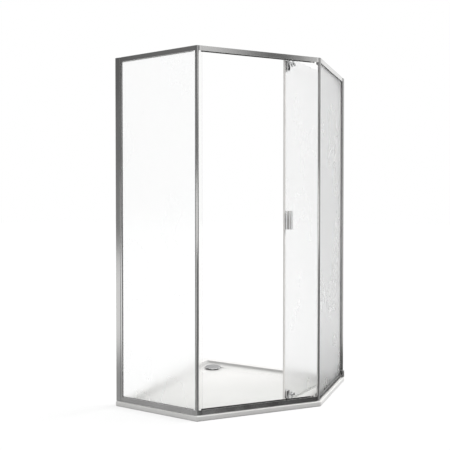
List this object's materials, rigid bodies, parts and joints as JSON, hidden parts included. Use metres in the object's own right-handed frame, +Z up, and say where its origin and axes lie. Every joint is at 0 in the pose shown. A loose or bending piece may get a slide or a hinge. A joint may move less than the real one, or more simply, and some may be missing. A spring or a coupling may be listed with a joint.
{
  "type": "shower cabin",
  "caption": "Five-sided corner shower cabin with a low tray, two framed frosted side panels and a slanted front closed by a frosted leaf that slides and turns.",
  "frame": {"origin": "centre of the bounding box at the floor, under the centre of the square that the tray is cut from", "axes": "+Z up; the building walls stand at -X and +Y; the slanted front with the door faces +X -Y"},
  "size_m": [1, 1, 1.88],
  "materials": {
    "tray": "white gloss",
    "frame_metal": "bright polished",
    "fittings": "polished",
    "drain_metal": "polished",
    "steel": "plain",
    "strainer": "plain",
    "side_glass": "frosted",
    "door_glass": "frosted",
    "grey_rubber": "matt",
    "black_rubber": "matt",
    "clear_seal": "translucent",
    "leaf_seal": "satin",
    "nylon": "satin"
  },
  "bodies": {
    "cabin": {"base_seal": "grey_rubber", "bottom_left_corner": "frame_metal", "bottom_right_corner": "frame_metal", "closing_bottom_buffer": "black_rubber", "closing_top_buffer": "black_rubber", "drain_flange": "drain_metal", "drain_strainer": "strainer", "front_bottom_rail": "frame_metal", "front_top_rail": "frame_metal", "left_bottom_rail": "frame_metal", "left_glass": "side_glass", "left_glazing_gasket": "grey_rubber", "left_post": "frame_metal", "left_top_rail": "frame_metal", "left_wall_channel": "frame_metal", "left_wall_profile": "frame_metal", "opening_bottom_buffer": "black_rubber", "opening_top_buffer": "black_rubber", "right_bottom_rail": "frame_metal", "right_glass": "side_glass", "right_glazing_gasket": "grey_rubber", "right_post": "frame_metal", "right_top_rail": "frame_metal", "right_wall_channel": "frame_metal", "right_wall_foot": "frame_metal", "right_wall_profile": "frame_metal", "shower_tray": "tray", "strike_seal": "clear_seal", "top_left_corner": "frame_metal", "top_right_corner": "frame_metal"},
    "trailing_pins": {"trailing_top_pin": "steel", "trailing_bottom_pin": "steel"},
    "door_leaf": {"bottom_wiper_seal": "clear_seal", "door_glass": "door_glass", "handle_grip": "fittings", "handle_inner_plate": "fittings", "leading_bottom_bracket": "fittings", "leading_bottom_clamp_plate": "steel", "leading_bottom_pin": "steel", "leading_bottom_screw_1": "steel", "leading_bottom_screw_2": "steel", "leading_seal": "leaf_seal", "leading_top_bracket": "fittings", "leading_top_clamp_plate": "steel", "leading_top_pin": "steel", "leading_top_screw_1": "steel", "trailing_bottom_bracket": "fittings", "trailing_bottom_clamp_plate": "steel", "trailing_bottom_screw_1": "steel", "trailing_bottom_screw_2": "steel", "trailing_seal": "leaf_seal", "trailing_top_bracket": "fittings", "trailing_top_clamp_plate": "steel", "trailing_top_screw_1": "steel"},
    "trailing_top_roller": {"trailing_top_roller": "nylon"},
    "trailing_bottom_roller": {"trailing_bottom_roller": "nylon"},
    "leading_top_roller": {"leading_top_roller": "nylon"},
    "leading_bottom_roller": {"leading_bottom_roller": "nylon"},
    "drain_cover": {"drain_cover": "drain_metal", "drain_cover_knob": "drain_metal"}
  },
  "joints": [
    {"name": "door_slide", "type": "slide", "parent": "cabin", "child": "trailing_pins", "axis": [0, -1, 0], "range_m": [0, 0.4852]},
    {"name": "door_turn", "type": "hinge", "parent": "trailing_pins", "child": "door_leaf", "pos_m": [0.4655, 0.4772, 0.9], "axis": [0, 0, 1], "range_deg": [-34.12, 0]},
    {"name": "leading_top_roller_spin", "type": "hinge", "parent": "door_leaf", "child": "leading_top_roller", "pos_m": [0.34987, -0.12363, 1.87], "axis": [0, 0, 1], "continuous": true},
    {"name": "leading_bottom_roller_spin", "type": "hinge", "parent": "door_leaf", "child": "leading_bottom_roller", "pos_m": [0.34987, -0.12363, 0.035], "axis": [0, 0, 1], "continuous": true},
    {"name": "trailing_top_roller_spin", "type": "hinge", "parent": "trailing_pins", "child": "trailing_top_roller", "pos_m": [0.4655, 0.4772, 1.87], "axis": [0, 0, 1], "continuous": true},
    {"name": "trailing_bottom_roller_spin", "type": "hinge", "parent": "trailing_pins", "child": "trailing_bottom_roller", "pos_m": [0.4655, 0.4772, 0.035], "axis": [0, 0, 1], "continuous": true},
    {"name": "drain_cover_lift", "type": "slide", "parent": "cabin", "child": "drain_cover", "axis": [0, 0, 1], "range_m": [0, 0.03]}
  ],
  "couplings": [
    {"joint": "door_turn", "follows": "door_slide", "rad_per_m": -1.2269}
  ]
}
